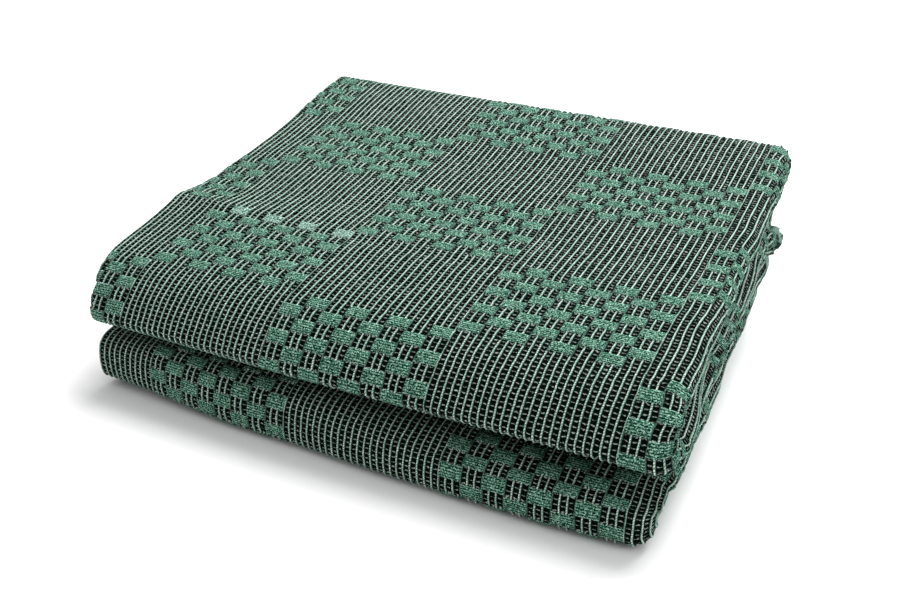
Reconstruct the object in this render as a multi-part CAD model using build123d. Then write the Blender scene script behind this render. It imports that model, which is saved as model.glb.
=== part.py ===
"""A thick woven ground mat, folded into a two-part pack.

The cloth is folded lengthwise into four layers, both ends of that strip are turned in to the
middle, and the strip is then closed like a book. Seen from the right the pack has four runs:
floor (lower outer), lower flap, upper flap and top (upper outer), each of four cloth layers.
Layer 1 of a run is its outermost cloth and layer 4 its innermost. The cloth turns round at the
lower front, at the upper front and at the spine behind. The mat is one cloth: its panels are
separate solids here, cut where the folds run, so that the pack can open.

Frame: +X right, +Y back (the spine), +Z up, origin under the middle of the pack, millimetres.
"""
from build123d import *
import math
import os

# Cloth
RIB_PITCH = 6.25  # one thick rib of the weave
CLOTH = 3.5  # thickness of the cloth with its ribs
LAYERS = (1, 2, 3, 4)

# Outline of the pack
BACK = 36.6 * RIB_PITCH  # the spine's outer face, and the front folds' noses at -BACK
UPPER_X = (-43 * RIB_PITCH, 43 * RIB_PITCH)
LOWER_X = (-41 * RIB_PITCH, 40.2 * RIB_PITCH)
SPINE_X = (-42 * RIB_PITCH, 41.4 * RIB_PITCH)
LOWER_FRONT_HEIGHT = 63.0
UPPER_FRONT_HEIGHT = 48.0
LOWER_BACK_HEIGHT = 92.0
TOP_SLOPE = math.radians(10.6)  # the top rises towards the spine
BUNDLE_GAP = 0.8  # free space between the two halves

# Layer spacing, from one cloth to the next, at each end of a run
LOWER_FRONT_STEP = 7.6
UPPER_FRONT_STEP = 5.6
BACK_STEP = 11.0

# Folds, flaps and hems
SPINE_RADIUS = 6 * RIB_PITCH  # of the outermost cloth's two rounded edges
HINGE_GAP = 0.6  # between the spine's cloth and the panels that it turns against
FLAP_END = 172.0  # where the flaps' cloth stops and the end hems start
SIDE_STEP = CLOTH + 1.5  # from an outer side fold to the one nested in it
SELVEDGE_INSET = 2.0
HEM_DEPTH = 16.0
HEM_EXTRA = 1.5  # a hem is this much thicker than the cloth, on its inner face
STITCH = 0.8

# Worked out from the above
LOWER_NOSE = LOWER_FRONT_HEIGHT / 2
UPPER_NOSE = UPPER_FRONT_HEIGHT / 2
LOWER_TURN_Y = -BACK + LOWER_NOSE
UPPER_TURN_Y = -BACK + UPPER_NOSE
UPPER_BASE = LOWER_FRONT_HEIGHT + BUNDLE_GAP
UPPER_TOP = UPPER_BASE + UPPER_FRONT_HEIGHT
SPINE_Y = BACK - SPINE_RADIUS
HINGE_TOP_Z = UPPER_TOP + math.tan(TOP_SLOPE) * (BACK - UPPER_TURN_Y)
SPINE_TANGENT = SPINE_RADIUS / math.tan((math.pi / 2 - TOP_SLOPE) / 2)
SPINE_TOP_Z = HINGE_TOP_Z - SPINE_TANGENT
TOP_NORMAL = (-math.sin(TOP_SLOPE), math.cos(TOP_SLOPE))
TOP_ALONG = (math.cos(TOP_SLOPE), math.sin(TOP_SLOPE))


def depths(layer, face, front_step):
    """How far a layer's outer (0) or inner (1) face lies inside the run, at front and back."""
    return (layer - 1) * front_step + face * CLOTH, (layer - 1) * BACK_STEP + face * CLOTH


def floor_ends(front, back):
    return (LOWER_TURN_Y, front), (SPINE_Y - HINGE_GAP, back)


def lower_flap_ends(front, back):
    return (LOWER_TURN_Y, LOWER_FRONT_HEIGHT - front), (FLAP_END, LOWER_BACK_HEIGHT - back)


def upper_flap_ends(front, back):
    return (UPPER_TURN_Y, UPPER_BASE + front), (FLAP_END, LOWER_BACK_HEIGHT + BUNDLE_GAP + back)


def top_ends(front, back):
    radius = SPINE_RADIUS - back
    y = SPINE_Y + radius * TOP_NORMAL[0] - HINGE_GAP * TOP_ALONG[0]
    z = SPINE_TOP_Z + radius * TOP_NORMAL[1] - HINGE_GAP * TOP_ALONG[1]
    return (UPPER_TURN_Y, UPPER_TOP - front), (y, z)


# name: its two ends, the layer spacing at the front, its sides, and the way into the run
RUNS = {
    "floor": (floor_ends, LOWER_FRONT_STEP, LOWER_X, 1),
    "lower_flap": (lower_flap_ends, LOWER_FRONT_STEP, LOWER_X, -1),
    "upper_flap": (upper_flap_ends, UPPER_FRONT_STEP, UPPER_X, 1),
    "top": (top_ends, UPPER_FRONT_STEP, UPPER_X, -1),
}


def prism(face, x_range):
    """Extrudes a side-view face, drawn with Y and Z as its axes, from x_range[0] to x_range[1]."""
    placed = Plane.YZ.offset(x_range[0]) * face
    return extrude(placed, amount=x_range[1] - x_range[0], dir=(1, 0, 0))


def polygon_face(points):
    return make_face(Polyline(*points, close=True))


def run_face(ends, outer, inner):
    """The side view of the stretch of a run between two depths, each (at front, at back)."""
    outer_front, outer_back = ends(*outer)
    inner_front, inner_back = ends(*inner)
    return polygon_face([outer_front, outer_back, inner_back, inner_front])


def nose_face(centre, outer, inner):
    """The side view of a half turn at the front, between two radii."""
    y, z = centre
    edges = [
        CenterArc(centre, outer, 90, 180),
        CenterArc(centre, inner, 90, 180),
        Line((y, z + inner), (y, z + outer)),
        Line((y, z - inner), (y, z - outer)),
    ]
    return make_face(edges)


def spine_face(outer, inner):
    """The side view of the spine between two radii: a rounded edge, a wall and a rounded edge."""
    sweep = 90 + math.degrees(TOP_SLOPE)
    low, high = (SPINE_Y, SPINE_RADIUS), (SPINE_Y, SPINE_TOP_Z)
    edges = []
    for radius in (outer, inner):
        edges.append(CenterArc(low, radius, -90, 90))
        edges.append(Line((SPINE_Y + radius, low[1]), (SPINE_Y + radius, high[1])))
        edges.append(CenterArc(high, radius, 0, sweep))
    edges.append(Line((SPINE_Y, low[1] - inner), (SPINE_Y, low[1] - outer)))
    ends = [(high[0] + r * TOP_NORMAL[0], high[1] + r * TOP_NORMAL[1]) for r in (inner, outer)]
    edges.append(Line(*ends))
    return make_face(edges)


def layer_sides(layer, sides):
    """The sides of a layer's panel: full for 1 and 4, drawn in on the right for 2 and 3."""
    left = sides[0] + (SELVEDGE_INSET if layer > 2 else 0)
    right = sides[1] - (SIDE_STEP if layer in (2, 3) else 0)
    return left, right


# name of a side fold: the layers that it joins, and its place across the pack
def side_folds(sides):
    return {
        "right_outer_fold": (1, 4, (sides[1] - CLOTH, sides[1])),
        "right_inner_fold": (2, 3, (sides[1] - SIDE_STEP - CLOTH, sides[1] - SIDE_STEP)),
        "left_fold": (1, 2, (sides[0], sides[0] + CLOTH)),
    }


def run_parts(name):
    """A run's four panels, and the side folds that join them."""
    ends, step, sides, _ = RUNS[name]
    parts = {}
    for layer in LAYERS:
        face = run_face(ends, depths(layer, 0, step), depths(layer, 1, step))
        parts[f"{name}_panel_{layer}"] = prism(face, layer_sides(layer, sides))
    for fold, (first, last, place) in side_folds(sides).items():
        face = run_face(ends, depths(first, 1, step), depths(last, 0, step))
        parts[f"{name}_{fold}"] = prism(face, place)
    return parts


def turn_parts(name, face_of, radius, step, sides):
    """The four nested layers of a turn, and the side folds that run round it."""
    parts = {}
    for layer in LAYERS:
        outer = radius - (layer - 1) * step
        parts[f"{name}_layer_{layer}"] = prism(face_of(outer, outer - CLOTH), layer_sides(layer, sides))
    for fold, (first, last, place) in side_folds(sides).items():
        outer = radius - (first - 1) * step - CLOTH
        inner = radius - (last - 1) * step
        parts[f"{name}_{fold}"] = prism(face_of(outer, inner), place)
    return parts


def hem_block(ends, inward, back_depths, x_range):
    """A straight bar behind a flap's end, between two depths into the flap."""
    z_outer = ends(0, 0)[1][1]
    z_range = sorted(z_outer + inward * depth for depth in back_depths)
    corners = [(FLAP_END, z_range[0]), (FLAP_END + HEM_DEPTH, z_range[0])]
    corners += [(FLAP_END + HEM_DEPTH, z_range[1]), (FLAP_END, z_range[1])]
    return prism(polygon_face(corners), x_range)


def hem_parts(name):
    """The end hem of a flap: one tape, folded with the cloth, and its row of stitches."""
    ends, _, sides, inward = RUNS[name]
    blocks, stitches = [], []
    for layer in LAYERS:
        start = (layer - 1) * BACK_STEP
        stop = start + CLOTH + HEM_EXTRA
        place = layer_sides(layer, sides)
        blocks.append(hem_block(ends, inward, (start, stop), place))
        z_inner = ends(0, 0)[1][1] + inward * (stop + STITCH / 2)
        centre = Location(((place[0] + place[1]) / 2, FLAP_END + HEM_DEPTH / 2, z_inner))
        stitches.append(centre * Box(place[1] - place[0] - 4 * SIDE_STEP, STITCH, STITCH))
    for first, last, place in side_folds(sides).values():
        joined = ((first - 1) * BACK_STEP + CLOTH, (last - 1) * BACK_STEP + CLOTH)
        blocks.append(hem_block(ends, inward, joined, place))
    hem = blocks[0].fuse(*blocks[1:])
    return {f"{name}_end_hem": hem, f"{name}_hem_stitches": Compound(children=stitches)}


def all_parts():
    parts = {}
    for name in RUNS:
        parts |= run_parts(name)

    def lower_nose(outer, inner):
        return nose_face((LOWER_TURN_Y, LOWER_NOSE), outer, inner)

    def upper_nose(outer, inner):
        return nose_face((UPPER_TURN_Y, UPPER_BASE + UPPER_NOSE), outer, inner)

    parts |= turn_parts("lower_front", lower_nose, LOWER_NOSE, LOWER_FRONT_STEP, LOWER_X)
    parts |= turn_parts("upper_front", upper_nose, UPPER_NOSE, UPPER_FRONT_STEP, UPPER_X)
    parts |= turn_parts("spine", spine_face, SPINE_RADIUS, BACK_STEP, SPINE_X)
    parts |= hem_parts("lower_flap")
    parts |= hem_parts("upper_flap")
    return parts


os.makedirs("parts", exist_ok=True)
for node, solid in all_parts().items():
    export_step(solid, f"parts/{node}.step")

opened = 180 + math.degrees(TOP_SLOPE)
print(f"lower hinge line: y {BACK:.2f}, z 0")
print(f"upper hinge line: y {BACK:.2f}, z {HINGE_TOP_Z:.2f}; the top lies flat after {opened:.1f} degrees")
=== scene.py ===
"""The looks of the folded woven ground mat: a ribbed cloth with raised checker blocks.

The whole mat is one cloth. A place on it is given by three numbers: `rib`, counted across the
cloth in thick ribs, `turn`, counted along the strip from flap end to flap end, and the height
over the cloth's middle. `cloth_point` turns rib and turn into a place, in millimetres, and every
piece of cloth is a window of that one surface, with real ribs, ticks and blocks raised on it.
The weave's colours follow the rib and the row of blocks, and `ROWS` gives the row at each turn.
"""
import math

import bmesh
import bpy
import numpy as np
from mathutils import Matrix, Vector


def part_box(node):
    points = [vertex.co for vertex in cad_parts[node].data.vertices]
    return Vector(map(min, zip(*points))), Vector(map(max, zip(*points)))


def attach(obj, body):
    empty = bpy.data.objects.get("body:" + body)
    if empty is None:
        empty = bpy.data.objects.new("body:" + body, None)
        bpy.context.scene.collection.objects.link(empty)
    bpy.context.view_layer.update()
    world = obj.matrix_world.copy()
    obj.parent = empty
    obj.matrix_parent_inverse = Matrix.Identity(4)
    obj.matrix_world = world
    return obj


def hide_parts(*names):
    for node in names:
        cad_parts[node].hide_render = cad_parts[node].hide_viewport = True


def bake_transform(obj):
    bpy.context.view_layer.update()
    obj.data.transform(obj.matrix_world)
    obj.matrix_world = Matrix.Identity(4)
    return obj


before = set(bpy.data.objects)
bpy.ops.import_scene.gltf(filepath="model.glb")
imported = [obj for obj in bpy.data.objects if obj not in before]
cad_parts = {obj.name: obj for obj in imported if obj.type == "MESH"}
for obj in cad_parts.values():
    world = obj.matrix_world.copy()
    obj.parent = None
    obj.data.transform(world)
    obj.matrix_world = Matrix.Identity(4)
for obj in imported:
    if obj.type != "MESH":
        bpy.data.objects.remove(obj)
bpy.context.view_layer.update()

MM = 0.001


def box_mm(node):
    low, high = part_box(node)
    return np.array(low) / MM, np.array(high) / MM


# ---------------------------------------------------------------- driving dimensions

# In millimetres
RIB = 6.25  # one rib of the weave
ROW = 12.4  # one row of blocks along the ribs
CLOTH = 3.5  # thickness
RELIEF = 1.6  # how deep the weave's ground lies under its face
BACK = box_mm("spine_layer_1")[1][1]
NOSE = -BACK
FLAP_END = box_mm("lower_flap_panel_1")[1][1]
FLAP_LOW = box_mm("lower_flap_panel_1")[1][2]  # top of the lower flap at its end
FLOOR = 3.0  # middle of the lowest cloth
HALF_WIDTH = 43 * RIB

# The weave
TICKS = 3  # thin cross yarns in a row
BLOCK_RIBS = 3
REGION_RIBS = 24
REGION_ROWS = 8
ROW_AT_BACK_EDGE = 0.36
BACK_EDGE_Y = BACK - 21.8  # where the top turns down into the spine
LOWER_FRONT_ROW = -56.0  # the row that lies at the top of the lower front fold

# The side folds, in millimetres
OUTER_FOLD = 12.5  # radius
INNER_FOLD = 4.2  # radius
FOLD_NESTING = 6.0  # of the inner right fold inside the outer one
SELVEDGE_INSET = 5.0  # of the innermost panel's selvedge from the pack's left side

# The ribs over the pack's middle, where the face panel ends, where its side folds end, and where
# the cloth ends
MIDDLE = 36.8
LEFT_EDGE, RIGHT_EDGE = -3.5, 72.5
FAR_LEFT = LEFT_EDGE - 8
FAR_RIGHT = RIGHT_EDGE + 14
SELVEDGES = (FAR_LEFT - 152, FAR_RIGHT + 71)


# ---------------------------------------------------------------- the fold line

# Side view of the outermost (layer 1) and innermost (layer 4) cloth, y and z, one list for each
# stretch: upper flap, upper nose, top, upper and lower half of the spine, floor, lower nose,
# lower flap. Each stretch starts where the one before it ends.
OUTER_LINE = [
    [(FLAP_END, FLAP_LOW + 3.2), (0, 81.8), (-120, 72.4)],
    [(-188, 65.4), (-214, 64.6), (-224.2, 67.4), (-228.6, 73.6), (-224.5, 82), (-213, 95.2),
     (-193.6, 107.8)],
    [(-170.2, 115.4), (-120, 125.6), (-92, 133.0), (-82.5, 136.4), (-75, 136.5), (-60, 135.7),
     (-39, 137.0), (-4, 143), (34, 149.8), (72, 155.6), (107, 163)],
    [(150, 173.8), (184, 181.6), (202, 184.8), (213, 182), (221, 173), (225, 158), (227, 130)],
    [(227, 95), (226.6, 60), (224.5, 30), (216, 9), (196, FLOOR + 0.3)],
    [(150, FLOOR), (0, FLOOR), (-150, FLOOR)],
    [(-185, FLOOR), (-216, FLOOR), (-225.8, 5.6), (-228.8, 16), (-227, 31), (-221.8, 41),
     (-212.2, 47.0), (-198, 50.4)],
    [(-180, 54.4), (-100, 65.6), (0, 75.4), (100, 84.2), (FLAP_END, FLAP_LOW - 2.6)],
]
INNER_LINE = [
    [(FLAP_END, FLAP_LOW + 35.4), (0, 106.6), (-120, 91.8)],
    [(-192, 83.6), (-203, 83.4), (-208.5, 87.6), (-203, 92.4)],
    [(-182, 96), (-80, 110), (34, 126.5)],
    [(150, 143.6), (180, 148.4), (190, 148.6), (194.5, 143), (195, 130)],
    [(194.5, 95), (194.5, 55), (192.6, 40), (184, 36)],
    [(150, 34), (0, 30), (-150, 26)],
    [(-188, 24.8), (-200, 24.9), (-206, 31), (-200, 37.6)],
    [(-188, 38.6), (0, 48.4), (FLAP_END, FLAP_LOW - 34.7)],
]
FLAP_UP, NOSE_UP, TOP, SPINE_UP, SPINE_LOW, GROUND, NOSE_LOW, FLAP_DOWN = range(8)
LAST_TURN = FLAP_DOWN + 1
LOWER_FRONT_TURN = NOSE_LOW + 0.86  # the turn at the top of the lower front fold
STEPS = 24  # of a curve between two points of a line
SAMPLES = 160  # along each stretch


def spline(points):
    """A centripetal Catmull-Rom curve through the points, in STEPS from each to the next."""
    points = np.array(points, float)
    ends = [2 * points[0] - points[1], *points, 2 * points[-1] - points[-2]]
    out = []
    for p0, p1, p2, p3 in zip(ends, ends[1:], ends[2:], ends[3:]):
        k1 = np.linalg.norm(p1 - p0) ** 0.5
        k2 = k1 + np.linalg.norm(p2 - p1) ** 0.5
        k3 = k2 + np.linalg.norm(p3 - p2) ** 0.5
        u = np.linspace(k1, k2, STEPS, endpoint=False)[:, None]
        a1 = (k1 - u) / k1 * p0 + u / k1 * p1
        a2 = (k2 - u) / (k2 - k1) * p1 + (u - k1) / (k2 - k1) * p2
        a3 = (k3 - u) / (k3 - k2) * p2 + (u - k2) / (k3 - k2) * p3
        b1 = (k2 - u) / k2 * a1 + u / k2 * a2
        b2 = (k3 - u) / (k3 - k1) * a2 + (u - k1) / (k3 - k1) * a3
        out.append((k2 - u) / (k2 - k1) * b1 + (u - k1) / (k2 - k1) * b2)
    return np.vstack(out + [points[-1:]])


def passed(line):
    """The length of the line up to each of its points."""
    return np.concatenate([[0], np.cumsum(np.linalg.norm(np.diff(line, axis=0), axis=1))])


def by_turn(line):
    """The line sampled evenly by length within each stretch, so that `turn` is its stretch's
    number plus the share of its length that has passed."""
    starts = np.cumsum([0] + [len(stretch) for stretch in line])
    starts[-1] -= 1
    curve = spline([p for stretch in line for p in stretch])
    out = []
    for first, last in zip(starts, starts[1:]):
        part = curve[first * STEPS:last * STEPS + 1]
        length = passed(part)
        even = np.linspace(0, length[-1], SAMPLES, endpoint=False)
        out.append(np.stack([np.interp(even, length, part[:, k]) for k in (0, 1)], axis=1))
    return np.vstack(out + [curve[-1:]])


TURNS = np.arange(LAST_TURN * SAMPLES + 1) / SAMPLES
OUTER = by_turn(OUTER_LINE)
INNER = by_turn(INNER_LINE)


def row_numbers():
    """The row number at each sampled turn: counted forward from the back edge of the top, and
    back from there round the spine, so that a region starts at the top of the lower nose."""
    length = passed(OUTER)
    spine = (TURNS > TOP) & (TURNS < SPINE_LOW)
    edge = np.interp(BACK_EDGE_Y, OUTER[spine, 0], length[spine])
    nose = np.interp(LOWER_FRONT_TURN, TURNS, length)
    rows = ROW_AT_BACK_EDGE - (length - edge) / ROW
    behind = length > edge
    rest = (LOWER_FRONT_ROW - ROW_AT_BACK_EDGE) / (nose - edge)
    rows[behind] = ROW_AT_BACK_EDGE + (length[behind] - edge) * rest
    return rows


ROWS = row_numbers()


def turn_of_row(row):
    return np.interp(-np.asarray(row), -ROWS, TURNS)


# ---------------------------------------------------------------- fading in and out

def smooth(value, low, high):
    """0 below low, 1 above high, and a smooth step between."""
    s = np.clip((value - low) / (high - low), 0, 1)
    return s * s * (3 - 2 * s)


def between(value, low, full, end, high):
    """0 below low and above high, 1 from full to end."""
    return smooth(value, low, full) * (1 - smooth(value, end, high))


def bell(value, middle, spread):
    """1 at the middle, fading out a few spreads away."""
    return np.exp(-((value - middle) / spread) ** 2)


def waves(kind, rib, turn):
    """The sum of some waves at a place: each has a size, its radians to a rib and to a turn, and
    its start."""
    return sum(size * np.sin(to_rib * rib + to_turn * turn + start) for size, to_rib, to_turn, start in kind)


# ---------------------------------------------------------------- the folded cloth

# The ribs at which the pack's sides lie, at some turns
SIDE_TURNS = [0, 1, 1.6, 2.0, 2.35, 2.6, 3, 3.3, 3.7, 4.3, 5, 6, 6.6, 7.2, 8]
LEFT_SIDE = [-5.0, -4.2, -6.4, -7.9, -8.2, -7.0, -7.7, -7.7, -7.2, -6.8, -6.2, -5.9, -6.1, -5.4, -4.0]
RIGHT_SIDE = [74.6, 78.2, 77.4, 77.2, 76.6, 76.0, 75.3, 75.2, 73.4, 72.0, 72.6, 75.4, 76.6, 77.0, 74.2]
SIDE_BLUR = 20  # samples to each side that a side's line is smoothed over
SKEW_SHARE = 0.035  # how much closer the ribs lie below than above
SKEW_SHIFT = 4  # how many ribs further right they lie there
LAYER = 1 / 3  # the depth from one layer to the next

# Waves in the cloth
WANDER = [(0.05, 0.5, 9, 0), (0.02, 0.8, -31, 0), (0.016, 4.3, 53, 0)]  # of all ribs, sideways, in ribs
PUCKERS = [(0.8, 0, 19, 1), (0.3, 0, 43, 0)]  # of the right fold, in millimetres, as the next two
CORNER_RIPPLES = [(1.3, 4.1, 0, 0), (1.5, 8.3, 70, 0)]  # of its loose corner, sideways
CORNER_DRIFT = [(3, 1.1, 0, 1)]  # and along the ribs

# The right fold, its loose corner at the upper flap's end, and its tuck near the upper nose: how
# far each moves the cloth, in millimetres, and the ribs and turns where it starts, is full, starts
# to fade and ends, or its middle and spread
FOLD_RIBS = (71, 75, 80, 85)
CORNER_OUT = 5.5
CORNER_DROP = 6.5
CORNER_RIBS = (71, 74, 76.5, 80)
CORNER_FADE = (0.01, 0.10)  # turns over which the corner goes over into the fold
SLUMP = 9.0  # of the corner's middle
SLUMP_AT = (78.2, 1.0)  # ribs
SLUMP_FADE = (0.03, 0.10)  # turns
TUCK = 9.0
TUCK_AT = (79.3, 1.3)  # ribs
TUCK_TURNS = (0.74, 0.13)

# How far out of true the whole pack lies, in millimetres
LEAN = 0.042  # a share of the height
CREASE = 4.2
CREASE_AT = (-82, 17)  # y, and its spread
CORNER_LIFT = 5.0
CORNER_BACK = 9.0
BULGE = 4.5
HOLLOW = 6.5
UPPER_BACK = 4.0
LOWER_HALF = (18, 62)  # the heights where it starts to give way to the upper half, and has done


def side(turn, ribs):
    """The pack's left or right side at a turn, in millimetres."""
    weights = np.hanning(2 * SIDE_BLUR + 1)
    sampled = np.pad(np.interp(TURNS, SIDE_TURNS, ribs), SIDE_BLUR, mode="edge")
    sampled = np.convolve(sampled, weights / weights.sum(), mode="valid")
    return (np.interp(turn, TURNS, sampled) - MIDDLE) * RIB


def across(rib, turn):
    """Where a rib would lie if the cloth were flat: the cloth is a little skewed below."""
    skew = smooth(turn, SPINE_UP, NOSE_LOW)
    return (rib * (1 - SKEW_SHARE * skew) + SKEW_SHIFT * skew - MIDDLE) * RIB


def section(rib, turn):
    """x, and the depth into the run from 0 (layer 1) to 1 (layer 4), of the cloth at a rib.

    From the left selvedge the cloth runs: layer 3 to the right, a fold, layer 2 to the left, a
    fold, layer 1 to the right, a wide fold, layer 4 to the left."""
    s = across(rib, turn)
    left = side(turn, LEFT_SIDE) + INNER_FOLD
    right = side(turn, RIGHT_SIDE) - OUTER_FOLD
    inner_right = side(turn, RIGHT_SIDE) - FOLD_NESTING - INNER_FOLD
    x, depth = s.copy(), np.zeros_like(s)

    # the outer right fold, and layer 4 squeezed into the room that it has
    angle = np.clip((s - right) / OUTER_FOLD, 0, math.pi)
    past = s > right
    turned_back = right + OUTER_FOLD * math.pi
    width = across(SELVEDGES[1], turn) - turned_back
    room = np.minimum(width, right - left - SELVEDGE_INSET)
    over = np.maximum(s - turned_back, 0) * room / width
    x = np.where(past, right + OUTER_FOLD * np.sin(angle) - over, x)
    depth = np.where(past, (1 - np.cos(angle)) / 2, depth)

    # the left fold and layer 2
    angle = np.clip((left - s) / INNER_FOLD, 0, math.pi)
    before = s < left
    over = np.maximum(left - s - INNER_FOLD * math.pi, 0)
    x = np.where(before, left - INNER_FOLD * np.sin(angle) + over, x)
    depth = np.where(before, LAYER * (1 - np.cos(angle)) / 2, depth)

    # the inner right fold and layer 3
    inner = before & (x > inner_right)
    over = x - inner_right
    angle = np.clip(over / INNER_FOLD, 0, math.pi)
    over = np.maximum(over - INNER_FOLD * math.pi, 0)
    x = np.where(inner, inner_right + INNER_FOLD * np.sin(angle) - over, x)
    depth = np.where(inner, LAYER * (3 - np.cos(angle)) / 2, depth)
    return x, depth


def gather(rib, turn, x, y, z):
    """The right fold's unevenness: puckers all along it, the loose corner and the tuck."""
    x = x + between(rib, *FOLD_RIBS) * waves(PUCKERS, rib, turn)
    corner = between(rib, *CORNER_RIBS) * (1 - smooth(turn, *CORNER_FADE))
    x = x + corner * (CORNER_OUT + waves(CORNER_RIPPLES, rib, turn))
    y = y + corner * waves(CORNER_DRIFT, rib, turn)
    z = z - corner * CORNER_DROP
    z = z - SLUMP * (1 - smooth(turn, *SLUMP_FADE)) * bell(rib, *SLUMP_AT)
    x = x - TUCK * bell(rib, *TUCK_AT) * bell(turn, *TUCK_TURNS)
    return x, y, z


def settle(x, y, z):
    """The whole pack's unevenness, one move after another. Each fades in from one place to
    another across the pack, in millimetres from its middle and from the floor."""
    # the left of the back stands higher than the right
    z = z * (1 - LEAN * x / HALF_WIDTH * smooth(y, NOSE, BACK))
    # a crease runs across the top, and fades out to the left
    crease = bell(y, *CREASE_AT) * smooth(z, 118, 130)
    z = z - CREASE * crease * smooth(x, -258, -130)
    # the lower half's front left corner is lifted and rounded off
    low = 1 - smooth(z, *LOWER_HALF)
    corner = smooth(-x, 90, 262) * smooth(-y, 150, 225) * low
    z = z + CORNER_LIFT * corner
    y = y + CORNER_BACK * corner
    # its front bulges right of the middle
    bulge = between(x, -90, 60, 160, 262) * smooth(-y, 120, 225)
    y = y - BULGE * bulge * low
    # its upper face is hollow under the right end of the upper nose
    hollow = smooth(x, -80, 160) * smooth(-y, 40, 190) * between(z, 30, 46, 56, 63)
    z = z - HOLLOW * hollow
    # the upper half's front left corner is drawn back
    y = y + UPPER_BACK * smooth(-x, 40, 262) * smooth(-y, 180, 225) * (1 - low)
    return x, y, z


def cloth_point(rib, turn):
    """The middle of the cloth, in millimetres, as an array with x, y and z last."""
    rib, turn = np.broadcast_arrays(np.asarray(rib, float), np.asarray(turn, float))
    x, depth = section(rib + waves(WANDER, rib, turn), turn)
    y, z = [(1 - depth) * np.interp(turn, TURNS, OUTER[:, k]) + depth * np.interp(turn, TURNS, INNER[:, k])
            for k in (0, 1)]
    return np.stack(settle(*gather(rib, turn, x, y, z)), axis=-1)


def cloth_normal(rib, turn):
    """The cloth's face direction, from its slopes over a small step in turn and in rib."""
    step, rib_step = 0.004, 0.05
    ahead = np.clip(turn + step, 0, LAST_TURN)
    behind = np.clip(turn - step, 0, LAST_TURN)
    along = cloth_point(rib, ahead) - cloth_point(rib, behind)
    wide = cloth_point(rib + rib_step, turn) - cloth_point(rib - rib_step, turn)
    normal = np.cross(wide, along)
    return normal / np.maximum(np.linalg.norm(normal, axis=-1, keepdims=True), 1e-9)


# ---------------------------------------------------------------- the weave's relief

RIB_HALF = 0.075  # half width of a rib's crest, in ribs
RIB_FOOT = 0.17  # half width at its foot
RIB_HEIGHT = 1.5
TICK_HALF = 0.055  # half width of a tick's crest, in tick spacings
TICK_FOOT = 0.15
TICK_HEIGHT = 0.6
SLACK = 0.02  # how far off a crest's edge a mesh line still counts as on it
FLOAT_RISE = 0.7  # how much further a rib rises between two blocks
BLOCK_HEIGHT = 1.75
BLOCK_INSET = TICK_FOOT / TICKS  # how far a block stays clear of its row's ends
ROUGHNESS = 0.25  # how unevenly the yarns lie
COARSE_HEIGHT = 0.5  # of the face of a cloth whose weave isn't raised
LINES_TO_ONE = 4  # lines of a raised weave to one line of a plain mesh


def weave_kind(rib, row):
    """Whether a place is in a checker region, and whether a raised block covers it."""
    region = (np.floor(rib / REGION_RIBS) + np.floor(row / REGION_ROWS)) % 2 == 1
    checker = (np.floor(rib / BLOCK_RIBS) + np.floor(row)) % 2 == 1
    inside = np.abs(row % 1 - 0.5) < 0.5 - BLOCK_INSET + 1e-6
    return region, region & checker & inside


def relief(rib, row, rng):
    """Height of the weave over its ground, in millimetres."""
    region, block = weave_kind(rib, row)
    on_rib = np.abs(rib - np.round(rib)) < RIB_HALF + SLACK
    on_tick = np.abs(row * TICKS - np.round(row * TICKS)) < TICK_HALF + SLACK
    crest = RIB_HEIGHT + region * FLOAT_RISE * np.sin(math.pi * (row % 1)) ** 2
    crest = np.where(region & (np.round(rib) % BLOCK_RIBS == 0), TICK_HEIGHT, crest)
    height = np.where(on_rib, crest, np.where(on_tick, TICK_HEIGHT, 0.0))
    uneven = rng.uniform(-ROUGHNESS, ROUGHNESS, rib.shape)
    return np.where(block, BLOCK_HEIGHT + uneven, height + on_rib * uneven * 0.5)


def rib_lines(first, last):
    """The ribs' mesh lines: two on each crest and one at each foot."""
    ribs = np.arange(math.ceil(first), math.floor(last) + 1)
    offsets = np.array([-RIB_FOOT, -RIB_HALF, RIB_HALF, RIB_FOOT])
    return np.concatenate([[first], (ribs[:, None] + offsets).ravel(), [last]])


def row_lines(first, last):
    """The rows' mesh lines, falling from first to last: two on each tick and one at each foot."""
    ticks = np.arange(math.ceil(last * TICKS), math.floor(first * TICKS) + 1)[::-1]
    offsets = np.array([TICK_FOOT, TICK_HALF, -TICK_HALF, -TICK_FOOT])
    return np.concatenate([[first], (ticks[:, None] + offsets).ravel() / TICKS, [last]])


# ---------------------------------------------------------------- mesh making

def new_mesh(name, points, quads, triangles, weave):
    """A mesh object from arrays: points in millimetres, and the weave's numbers at each."""
    mesh = bpy.data.meshes.new(name)
    mesh.vertices.add(len(points))
    mesh.vertices.foreach_set("co", (points * MM).astype(np.float32).ravel())
    corners = np.concatenate([quads.ravel(), triangles.ravel()]).astype(np.int32)
    starts = np.concatenate([np.arange(len(quads)) * 4, len(quads) * 4 + np.arange(len(triangles)) * 3])
    mesh.loops.add(len(corners))
    mesh.loops.foreach_set("vertex_index", corners)
    mesh.polygons.add(len(starts))
    mesh.polygons.foreach_set("loop_start", starts.astype(np.int32))
    mesh.update(calc_edges=True)
    mesh.validate()
    mesh.polygons.foreach_set("use_smooth", np.ones(len(mesh.polygons), bool))
    numbers = mesh.attributes.new("weave", "FLOAT_VECTOR", "POINT")
    numbers.data.foreach_set("vector", weave.astype(np.float32).ravel())
    made = bpy.data.objects.new(name, mesh)
    bpy.context.scene.collection.objects.link(made)
    return made


def quads_of(index):
    """The quads of a grid of vertex numbers."""
    corners = [index[:-1, :-1], index[:-1, 1:], index[1:, 1:], index[1:, :-1]]
    return np.stack(corners, axis=-1).reshape(-1, 4)


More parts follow.
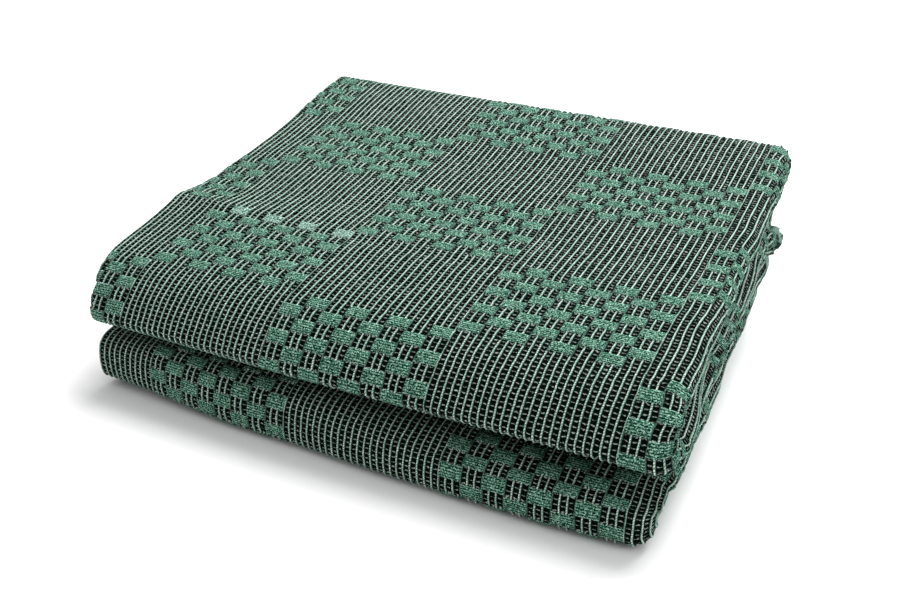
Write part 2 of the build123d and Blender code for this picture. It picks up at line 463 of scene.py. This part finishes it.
def picks_of(count, step):
    """The numbers of every so many lines of count, with the first and the last."""
    picks = list(range(0, count - 1, step))
    if count - 1 - picks[-1] < step // 2 and len(picks) > 1:
        picks.pop()
    return picks + [count - 1]


def rim(fine, coarse, picks):
    """Triangles between a fine border and a coarse one that has a vertex under each pick."""
    out = []
    for k in range(len(picks) - 1):
        a, b = picks[k], picks[k + 1]
        half = (a + b) // 2
        out += [(fine[i + 1], fine[i], coarse[k]) for i in range(a, half)]
        out += [(fine[i + 1], fine[i], coarse[k + 1]) for i in range(half, b)]
        out.append((fine[half], coarse[k], coarse[k + 1]))
    return out


def rims(face, under, along_picks, across_picks):
    """Triangles that close all four borders between a face and its coarser underside."""
    across_back = [face.shape[1] - 1 - p for p in across_picks[::-1]]
    along_back = [face.shape[0] - 1 - p for p in along_picks[::-1]]
    triangles = rim(face[0], under[0], across_picks)
    triangles += rim(face[-1][::-1], under[-1][::-1], across_back)
    triangles += rim(face[::-1, 0], under[::-1, 0], along_back)
    triangles += rim(face[:, -1], under[:, -1], along_picks)
    return np.array(triangles)


def mesh_lines(ribs, rows, fine):
    """The ribs and the rows at which a piece of cloth has mesh lines."""
    if fine:
        return rib_lines(*ribs), row_lines(*rows)
    row_line = row_lines(*rows)
    return np.arange(ribs[0], ribs[1] + 0.1, 1.0), row_line[picks_of(len(row_line), LINES_TO_ONE)]


def solid_cloth(name, ribs, rows, fine, seed):
    """A closed piece of cloth between two ribs and two rows, with the weave raised on it if fine,
    and its flat width and length in metres."""
    rng = np.random.default_rng(seed)
    rib_line, row_line = mesh_lines(ribs, rows, fine)
    rib, row = np.meshgrid(rib_line, row_line)
    turn = np.broadcast_to(turn_of_row(row_line)[:, None], rib.shape)
    middle, normal = cloth_point(rib, turn), cloth_normal(rib, turn)
    height = relief(rib, row, rng) if fine else np.full(rib.shape, COARSE_HEIGHT)
    face = middle + normal * (CLOTH / 2 - RELIEF + height)[..., None]
    step = LINES_TO_ONE if fine else 1
    across_picks, along_picks = picks_of(len(rib_line), step), picks_of(len(row_line), step)
    picked = np.ix_(along_picks, across_picks)
    under = (middle - normal * (CLOTH / 2))[picked]

    face_index = np.arange(rib.size).reshape(rib.shape)
    under_index = rib.size + np.arange(under[..., 0].size).reshape(under.shape[:2])
    quads = np.vstack([quads_of(face_index), quads_of(under_index)[:, ::-1]])
    triangles = rims(face_index, under_index, along_picks, across_picks)
    numbers = np.stack([rib, row, np.zeros_like(rib)], axis=-1)
    under_numbers = numbers[picked] + (0, 0, 1)
    points = np.vstack([face.reshape(-1, 3), under.reshape(-1, 3)])
    weave = np.vstack([numbers.reshape(-1, 3), under_numbers.reshape(-1, 3)])
    made = new_mesh(name, points, quads, triangles, weave)
    width = np.linalg.norm(np.diff(middle, axis=1), axis=2).sum(axis=1).mean()
    length = np.linalg.norm(np.diff(middle, axis=0), axis=2).sum(axis=0).mean()
    return made, (width * MM, length * MM)


# ---------------------------------------------------------------- camera

def make_camera():
    """The photograph's view: a slightly long lens, from the front right, a little above."""
    place = (0.3956, -0.8149, 0.4720)
    azimuth, elevation = math.radians(27.4), math.radians(25.0)
    camera = bpy.data.objects.new("camera", bpy.data.cameras.new("camera"))
    camera.data.lens = 42
    camera.data.sensor_width = 36
    flat = math.cos(elevation)
    back = Vector((math.sin(azimuth) * flat, -math.cos(azimuth) * flat, math.sin(elevation)))
    right = Vector((math.cos(azimuth), math.sin(azimuth), 0))
    turned = Matrix((right, back.cross(right), back)).transposed().to_4x4()
    camera.matrix_world = Matrix.Translation(place) @ turned
    bpy.context.scene.collection.objects.link(camera)
    bpy.context.scene.camera = camera


make_camera()


# ---------------------------------------------------------------- materials

class Nodes:
    """Small helpers for building a node tree. Each takes sockets or numbers and gives a socket."""

    def __init__(self, owner):
        owner.use_nodes = True
        self.tree = owner.node_tree

    def set(self, socket, value):
        if isinstance(value, bpy.types.NodeSocket):
            self.tree.links.new(value, socket)
        else:
            socket.default_value = value

    def math(self, operation, *values):
        node = self.tree.nodes.new("ShaderNodeMath")
        node.operation = operation
        for socket, value in zip(node.inputs, values):
            self.set(socket, value)
        return node.outputs[0]

    def plus(self, a, b):
        return self.math("ADD", a, b)

    def minus(self, a, b):
        return self.math("SUBTRACT", a, b)

    def times(self, a, b):
        return self.math("MULTIPLY", a, b)

    def over(self, a, b):
        return self.math("DIVIDE", a, b)

    def nearest(self, value):
        """Distance of a value from its nearest whole number."""
        return self.math("ABSOLUTE", self.minus(self.math("FRACT", self.plus(value, 0.5)), 0.5))

    def odd(self, a, b):
        """1 where the whole parts of a and b add up to an odd number, and 0 elsewhere."""
        total = self.plus(self.math("FLOOR", a), self.math("FLOOR", b))
        return self.math("ROUND", self.math("FLOORED_MODULO", total, 2.0))

    def rise(self, value, low, high):
        """0 to 1 as value goes smoothly from low to high."""
        node = self.tree.nodes.new("ShaderNodeMapRange")
        node.interpolation_type = "SMOOTHSTEP"
        self.set(node.inputs["Value"], value)
        node.inputs["From Min"].default_value = low
        node.inputs["From Max"].default_value = high
        return node.outputs["Result"]

    def fall(self, value, low, high):
        return self.minus(1.0, self.rise(value, low, high))

    def mix(self, factor, a, b):
        node = self.tree.nodes.new("ShaderNodeMix")
        node.data_type = "RGBA"
        for number, value in ((0, factor), (6, a), (7, b)):
            self.set(node.inputs[number], value)
        return node.outputs[2]

    def noise(self, vector, scale, detail=2.0, roughness=0.5, distortion=0.0):
        node = self.tree.nodes.new("ShaderNodeTexNoise")
        self.set(node.inputs["Vector"], vector)
        node.inputs["Scale"].default_value = scale
        node.inputs["Detail"].default_value = detail
        node.inputs["Roughness"].default_value = roughness
        node.inputs["Distortion"].default_value = distortion
        return node.outputs["Fac"]

    def vector(self, x, y, z=0.0):
        node = self.tree.nodes.new("ShaderNodeCombineXYZ")
        for socket, value in zip(node.inputs, (x, y, z)):
            self.set(socket, value)
        return node.outputs[0]

    def split(self, vector):
        node = self.tree.nodes.new("ShaderNodeSeparateXYZ")
        self.set(node.inputs[0], vector)
        return node.outputs

    def weave_numbers(self):
        """The rib and the row that the cloth's meshes carry."""
        node = self.tree.nodes.new("ShaderNodeAttribute")
        node.attribute_name = "weave"
        return self.split(node.outputs["Vector"])[:2]

    def bump(self, height, strength, distance):
        node = self.tree.nodes.new("ShaderNodeBump")
        node.inputs["Strength"].default_value = strength
        node.inputs["Distance"].default_value = distance
        self.set(node.inputs["Height"], height)
        return node.outputs[0]

    def shade(self, colour, roughness, specular, normal=None):
        shader = self.tree.nodes["Principled BSDF"]
        self.set(shader.inputs["Base Color"], colour)
        self.set(shader.inputs["Roughness"], roughness)
        shader.inputs["Specular IOR Level"].default_value = specular
        if normal is not None:
            self.set(shader.inputs["Normal"], normal)


# The weave's colours
DARK = (0.0006, 0.0028, 0.0020, 1)
DARK_SHEEN = (0.0025, 0.012, 0.008, 1)
PALE = (0.87, 0.93, 0.88, 1)
PALE_SHADE = (0.090, 0.205, 0.145, 1)
TICK_COLOUR = (0.40, 0.44, 0.41, 1)
TICK_SHADE = (0.015, 0.032, 0.025, 1)
BORDER = (0.018, 0.060, 0.041, 1)  # of the ribs between two columns of blocks
GREEN = (0.025, 0.110, 0.071, 1)
GREEN_DEEP = (0.0012, 0.013, 0.008, 1)
GREEN_LIGHT = (0.33, 0.55, 0.43, 1)
# a painted highlight on the blocks along the top's crease, where they catch the light
CREASE_HIGHLIGHT = (0.52, 0.72, 0.64, 1)

# The edges of what the colours show, each from full to none: in ribs from a rib's middle, in
# tick spacings, or in blocks
RIB_EDGE = (0.095, 0.145)
RIB_CORE = (0.045, 0.115)
TICK_EDGE = (0.045, 0.115)
BORDER_EDGE = (0.07, 0.09)
CLEAR_OF_RIB = (0.20, 0.36)  # where a tick shows its pale yarn with a painted glint, rising; nearer a rib, and at random, it keeps its painted shade
TWIST_BY_ROW, TWIST_BY_RIB = 37.7, 16.0  # radians of the ribs' twist
LINES = 6  # yarns in a block's row
RIB_STRAY = 0.08  # how far the ribs stray, in ribs
TICK_STRAY = 0.6  # how far the ticks stray, in tick spacings
HIGHLIGHT_ROW = 24.45  # the row on the top's crease
HIGHLIGHT_EDGE = (0.4, 0.9)  # in rows from there
HIGHLIGHT_FROM, HIGHLIGHT_TO = (0.0, 5.0), (22.0, 27.0)  # the ribs where the painted highlight on the crease starts and ends


class WeavePattern:
    """Where the weave's ribs, ticks and blocks are, as sockets from 0 to 1."""

    def __init__(self, n, rib, row):
        self.rib, self.row = rib, row
        self.place = n.vector(rib, n.times(row, ROW / RIB))
        self.stray = n.times(n.minus(n.noise(self.place, 1.7), 0.5), RIB_STRAY)
        from_rib = n.nearest(n.plus(rib, self.stray))
        self.is_rib = n.fall(from_rib, *RIB_EDGE)
        self.core = n.fall(from_rib, *RIB_CORE)
        self.clear = n.rise(from_rib, *CLEAR_OF_RIB)
        bent = n.times(n.minus(n.noise(self.place, 2.2, 1.0), 0.5), TICK_STRAY)
        self.is_tick = n.fall(n.nearest(n.plus(n.times(row, TICKS), bent)), *TICK_EDGE)

        region = n.odd(n.over(rib, REGION_RIBS), n.over(row, REGION_ROWS))
        checker = n.odd(n.over(rib, BLOCK_RIBS), row)
        from_end = n.minus(0.5 - BLOCK_INSET, n.nearest(n.plus(row, 0.5)))
        inside = n.math("GREATER_THAN", from_end, 0.0)
        self.is_block = n.times(n.times(region, checker), inside)
        self.is_border = n.times(n.fall(n.nearest(n.over(rib, BLOCK_RIBS)), *BORDER_EDGE), region)

        self.twist = n.math("SINE", n.plus(n.times(row, TWIST_BY_ROW), n.times(rib, TWIST_BY_RIB)))
        row_line = n.times(row, LINES)
        line = n.times(n.nearest(n.plus(row_line, n.times(self.stray, 4.0))), 2.0)
        speck = n.noise(n.vector(n.times(rib, 3.2), n.times(row_line, 1.2)), 1.6, 2.0, 0.6, 1.2)
        self.tone = n.plus(speck, n.times(line, 0.14))


def plain_colour(n, p):
    """Pale twisted ribs over a near-black ground with pale ticks."""
    yarn = n.noise(p.place, 8.0, 3.0, 0.65, 0.8)
    pale = n.times(n.rise(n.plus(n.times(p.twist, 0.10), yarn), 0.42, 0.70), p.core)
    rib_colour = n.mix(n.times(p.is_border, 0.85), n.mix(pale, PALE_SHADE, PALE), BORDER)
    ground = n.mix(n.rise(yarn, 0.50, 0.80), DARK, DARK_SHEEN)
    glint = n.times(p.clear, n.rise(n.noise(p.place, 4.5), 0.32, 0.58))
    tick_colour = n.mix(glint, TICK_SHADE, TICK_COLOUR)
    plain = n.mix(n.times(p.is_tick, 0.95), ground, tick_colour)
    return n.mix(p.is_rib, plain, rib_colour)


def block_colour(n, p):
    """Mottled green, with a painted highlight where the top's crease crosses the left region."""
    block = n.mix(n.rise(p.tone, 0.50, 0.58), GREEN_DEEP, GREEN)
    block = n.mix(n.rise(p.tone, 0.61, 0.69), block, GREEN_LIGHT)
    # a painted highlight, in patches, on the blocks along the top's crease in the left region
    along_crease = n.times(n.rise(p.rib, *HIGHLIGHT_FROM), n.fall(p.rib, *HIGHLIGHT_TO))
    at_crease = n.fall(n.math("ABSOLUTE", n.minus(p.row, HIGHLIGHT_ROW)), *HIGHLIGHT_EDGE)
    painted_highlight = n.times(n.times(along_crease, at_crease), n.rise(p.tone, 0.50, 0.68))
    return n.mix(n.times(painted_highlight, 0.60), block, CREASE_HIGHLIGHT)


def weave_height(n, p):
    """The yarns' fine relief, for the bump."""
    plain = n.math("MAXIMUM", n.times(p.is_rib, 0.9), n.times(p.is_tick, 0.35))
    plain = n.plus(plain, n.times(p.twist, n.times(p.is_rib, 0.10)))
    block = n.plus(0.8, n.times(p.tone, 0.8))
    return n.plus(n.times(n.minus(1.0, p.is_block), plain), n.times(p.is_block, block))


def weave_material():
    material = bpy.data.materials.new("weave")
    n = Nodes(material)
    p = WeavePattern(n, *n.weave_numbers())
    colour = n.mix(p.is_block, plain_colour(n, p), block_colour(n, p))
    roughness = n.minus(0.60, n.times(p.is_rib, 0.15))
    n.shade(colour, roughness, 0.01, n.bump(weave_height(n, p), 0.6, 0.0012))
    return material


def hem_material():
    """A dark green twill tape."""
    material = bpy.data.materials.new("hem_tape")
    n = Nodes(material)
    rib, inward = n.weave_numbers()
    slant = n.plus(n.times(rib, 40.0), n.times(inward, 6.5))
    twill = n.times(n.plus(n.math("SINE", slant), 1.0), 0.5)
    grain = n.noise(n.vector(n.times(rib, 4.0), inward), 3.0)
    tone = n.plus(n.times(twill, 0.6), n.times(grain, 0.6))
    colour = n.mix(n.rise(tone, 0.2, 1.0), (0.006, 0.030, 0.020, 1), (0.28, 0.47, 0.38, 1))
    n.shade(colour, n.plus(0.6, n.times(twill, 0.15)), 0.15, n.bump(twill, 0.5, 0.0005))
    return material


def thread_material():
    """Pale polyester thread."""
    material = bpy.data.materials.new("hem_thread")
    n = Nodes(material)
    place = n.tree.nodes.new("ShaderNodeTexCoord").outputs["Object"]
    tone = n.noise(place, 900.0, 2.0)
    colour = n.mix(tone, (0.20, 0.36, 0.28, 1), (0.50, 0.68, 0.58, 1))
    n.shade(colour, n.plus(0.45, n.times(tone, 0.2)), 0.3)
    return material


WEAVE = weave_material()
HEM = hem_material()
THREAD = thread_material()


# ---------------------------------------------------------------- the cloth's pieces

# Each run's name, its body and the turns between which it lies
RUNS = {
    "upper_flap": ("upper_half", FLAP_UP, NOSE_UP),
    "upper_front": ("upper_half", NOSE_UP, TOP),
    "top": ("upper_half", TOP, SPINE_UP),
    "spine_upper": ("spine", SPINE_UP, SPINE_LOW),
    "spine_lower": ("spine", SPINE_LOW, GROUND),
    "floor": ("lower_half", GROUND, NOSE_LOW),
    "lower_front": ("lower_half", NOSE_LOW, FLAP_DOWN),
    "lower_flap": ("lower_half", FLAP_DOWN, LAST_TURN),
}
# Each strip across the cloth: its layer or its fold, its side, its ribs, and whether the weave
# is raised in full
HALFWAY = 34.5
INNER_FOLD_RIBS = (FAR_LEFT - 80, FAR_LEFT - 72)
STRIPS = [
    (1, "left", (LEFT_EDGE, HALFWAY), True),
    (1, "right", (HALFWAY, RIGHT_EDGE), True),
    ("right_outer_fold", "", (RIGHT_EDGE, FAR_RIGHT), True),
    (4, "", (FAR_RIGHT, SELVEDGES[1]), False),
    ("left_fold", "", (FAR_LEFT, LEFT_EDGE), True),
    (2, "", (INNER_FOLD_RIBS[1], FAR_LEFT), False),
    ("right_inner_fold", "", INNER_FOLD_RIBS, False),
    (3, "", (SELVEDGES[0], INNER_FOLD_RIBS[0]), False),
]
FLAT_RUNS = ("upper_flap", "top", "floor", "lower_flap")
FIRST_SEED = 100

# The body that each half of the spine turns into, and the line along which it does, in metres
SPINE_BENDS = {
    "spine_upper": ("upper_half", (0, 0.2090, 0.1157), (0, 0.1689, 0.1558)),
    "spine_lower": ("lower_half", (0, 0.2100, 0.0743), (0, 0.1619, 0.0262)),
}


def window(first_turn, last_turn):
    """The rows between two turns, moved to the nearest middle between two ticks."""
    rows = np.interp([first_turn, last_turn], TURNS, ROWS)
    return [(math.floor(r * TICKS) + 0.5) / TICKS for r in rows]


def make_cloth():
    """Every strip of every run."""
    for order, (run, (body, first, last)) in enumerate(RUNS.items()):
        kind = "panel" if run in FLAT_RUNS else "layer"
        base = "spine" if run in SPINE_BENDS else run
        for strip, label, ribs, fine in STRIPS:
            part = f"{kind}_{strip}" if isinstance(strip, int) else strip
            name = "_".join(word for word in (run, part, label, "cloth") if word)
            made, flat = solid_cloth(name, ribs, window(first, last), fine, FIRST_SEED + order)
            made.data.materials.append(WEAVE)
            if run in SPINE_BENDS:
                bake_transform(made)
            else:
                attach(made, body)
            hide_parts(f"{base}_{part}")


make_cloth()


# ---------------------------------------------------------------- hems

# In millimetres
HEM_DEPTH = 16.0
HEM_TAPE = 0.9  # thickness
HEM_GAP = 0.05  # between the tape and the cloth
STITCH_INSET = 4.0  # from the hem's inner edge
STITCH_RISE = 0.55  # of a stitch's middle over the tape
STITCH_THREAD = 0.5  # half the thread's thickness

# In ribs
HEM_STEP = 0.5  # from one mesh line to the next
STITCH_STEP = 0.8  # from one stitch to the next
STITCH_HALF = 0.28  # half a stitch's length


def flap_frame(turn, ribs):
    """Places along a flap's end, with the ways outward past the end and out of the face."""
    inward = 0.02 if turn == 0 else -0.02
    end = cloth_point(ribs, turn)
    out = end - cloth_point(ribs, turn + inward)
    out /= np.linalg.norm(out, axis=-1, keepdims=True)
    return end, out, cloth_normal(ribs, turn)


def hem_profile():
    """The tape's section, as places outward past the cloth's end and up from its middle: over
    the face, round the end, back under it, and then along the inside of the tape."""
    high = CLOTH / 2 + HEM_TAPE
    low = CLOTH / 2 + HEM_GAP
    over = [(-HEM_DEPTH, high - 0.3), (-HEM_DEPTH + 1, high), (-1.5, high), (0.9, high * 0.75)]
    under = [(out, -up) for out, up in over[::-1]]
    inside = [(-HEM_DEPTH, -low), (0.1, -low), (0.1, low), (-HEM_DEPTH, low)]
    return over + [(1.7, 0)] + under + inside


# The quads and triangles between the outside and the inside of the tape's section, as numbers of
# its points
HEM_WALLS = [(0, 1, 2, 12), (2, 3, 11, 12), (3, 4, 11), (4, 5, 10, 11), (5, 6, 10), (6, 7, 9, 10), (7, 8, 9)]


def hem_caps(ring_count, size, turn):
    """Triangles that close the tape's two ends."""
    caps = []
    for ring, flip in ((0, turn == LAST_TURN), (ring_count - 1, turn == 0)):
        for wall in HEM_WALLS:
            corners = [ring * size + c for c in (wall[::-1] if flip else wall)]
            caps += [(corners[0], corners[k], corners[k + 1]) for k in range(1, len(corners) - 1)]
    return np.array(caps)


def make_hem(run, turn, body):
    """A tape folded over the flap's end and following the cloth through all its layers."""
    ribs = np.arange(SELVEDGES[0], SELVEDGES[1] + 0.1, HEM_STEP)
    end, out, up = flap_frame(turn, ribs)
    profile = hem_profile()
    rings = np.stack([end + out * d + up * h for d, h in profile], axis=1)
    count, size = len(ribs), len(profile)
    index = np.arange(count * size).reshape(count, size)
    index = np.hstack([index, index[:, :1]])
    quads = quads_of(index)
    if turn == 0:
        quads = quads[:, ::-1]
    inward = np.tile([d for d, h in profile], count)
    numbers = np.stack([np.repeat(ribs, size), inward, np.zeros(count * size)], axis=-1)
    name = f"{run}_end_hem_tape"
    made = new_mesh(name, rings.reshape(-1, 3), quads, hem_caps(count, size, turn), numbers)
    made.data.materials.append(HEM)
    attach(made, body)
    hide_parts(f"{run}_end_hem")
    make_stitches(run, turn, body)


def stitch(turn, rib, face):
    """One stitch: its two ends, and a square round its middle."""
    places = np.array([rib - STITCH_HALF, rib, rib + STITCH_HALF])
    ends, out, up = flap_frame(turn, places)
    line = ends - out * (HEM_DEPTH - STITCH_INSET)
    up = up * face
    high = CLOTH / 2 + HEM_TAPE
    first, last = [line[k] + up[k] * (high - 0.2) for k in (0, 2)]
    over, under = [line[1] + up[1] * (high + rise) for rise in (STITCH_RISE, -STITCH_THREAD)]
    outer, inner = [line[1] + out[1] * (way * STITCH_THREAD) + up[1] * high for way in (1, -1)]
    return [first, last, over, outer, under, inner]


def make_stitches(run, turn, body):
    """A row of short lockstitches on each face of the hem."""
    ribs = np.arange(SELVEDGES[0] + 1, SELVEDGES[1] - 1, STITCH_STEP)
    points, triangles = [], []
    for face in (1, -1):
        for rib in ribs:
            first = len(points)
            points += stitch(turn, rib, face)
            for a, b in ((2, 3), (3, 4), (4, 5), (5, 2)):
                triangles += [(first, first + a, first + b), (first + 1, first + b, first + a)]
    points = np.array(points)
    no_quads = np.zeros((0, 4), int)
    name = f"{run}_hem_stitches_thread"
    made = new_mesh(name, points, no_quads, np.array(triangles), np.zeros_like(points))
    made.data.materials.append(THREAD)
    face_outward(made)
    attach(made, body)
    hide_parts(f"{run}_hem_stitches")
    return made


def face_outward(made):
    mesh = bmesh.new()
    mesh.from_mesh(made.data)
    bmesh.ops.recalc_face_normals(mesh, faces=mesh.faces)
    mesh.to_mesh(made.data)
    mesh.free()


make_hem("lower_flap", LAST_TURN, "lower_half")
make_hem("upper_flap", 0, "upper_half")


# ---------------------------------------------------------------- stage and light

FLOOR_SIZE = 80
WALL_RADIUS = 30
WALL_GREY = 0.62  # as the far floor looks


def grey(value):
    return (value, value, value, 1)


def make_floor():
    bpy.ops.mesh.primitive_plane_add(size=FLOOR_SIZE, location=(0, 0, -0.0002))
    floor = bpy.context.object
    floor.name = "stage_floor"
    material = bpy.data.materials.new("stage_pale")
    Nodes(material).shade(grey(0.9), 0.9, 0.5)
    floor.data.materials.append(material)


def make_wall():
    """A far pale wall behind the floor. It neither lights nor shades the mat."""
    bpy.ops.mesh.primitive_cylinder_add(radius=WALL_RADIUS, depth=40, vertices=96, end_fill_type="NOTHING")
    wall = bpy.context.object
    wall.name = "stage_wall"
    material = bpy.data.materials.new("stage_wall_pale")
    Nodes(material).shade(grey(0), 0.9, 0.0)
    shader = material.node_tree.nodes["Principled BSDF"]
    shader.inputs["Emission Color"].default_value = grey(WALL_GREY)
    shader.inputs["Emission Strength"].default_value = 1.0
    wall.data.materials.append(material)
    wall.visible_diffuse = False
    wall.visible_glossy = False
    wall.visible_shadow = False


def make_world():
    """Soft light that grows from the horizon up to overhead."""
    world = bpy.data.worlds.new("studio")
    bpy.context.scene.world = world
    n = Nodes(world)
    height = n.split(n.tree.nodes.new("ShaderNodeTexCoord").outputs["Generated"])[2]
    background = n.tree.nodes["Background"]
    n.set(background.inputs["Color"], n.mix(n.rise(height, 0.1, 0.95), grey(0.10), grey(0.9)))
    background.inputs["Strength"].default_value = 1.0


def area_light(name, place, target, size, power):
    light = bpy.data.objects.new(name, bpy.data.lights.new(name, "AREA"))
    light.data.shape = "RECTANGLE"
    light.data.size, light.data.size_y = size
    light.visible_camera = False
    light.data.energy = power
    light.location = place
    light.rotation_mode = "QUATERNION"
    light.rotation_quaternion = (Vector(target) - Vector(place)).to_track_quat("-Z", "Y")
    bpy.context.scene.collection.objects.link(light)


make_floor()
make_wall()
make_world()
area_light("key_light", (0.2, 0.85, 1.8), (0, 0, 0.1), (1.5, 1.5), 60)
area_light("front_light", (-0.1, -1.9, 0.12), (0, 0, 0.06), (1.8, 0.2), 6)
area_light("backdrop_light", (0, 3.4, 2.4), (0, 3.4, 0), (3.0, 3.0), 90)
area_light("side_light", (1.7, -0.3, 0.9), (0.2, 0, 0.1), (1.0, 1.0), 9)
bpy.context.scene.view_settings.view_transform = "Standard"
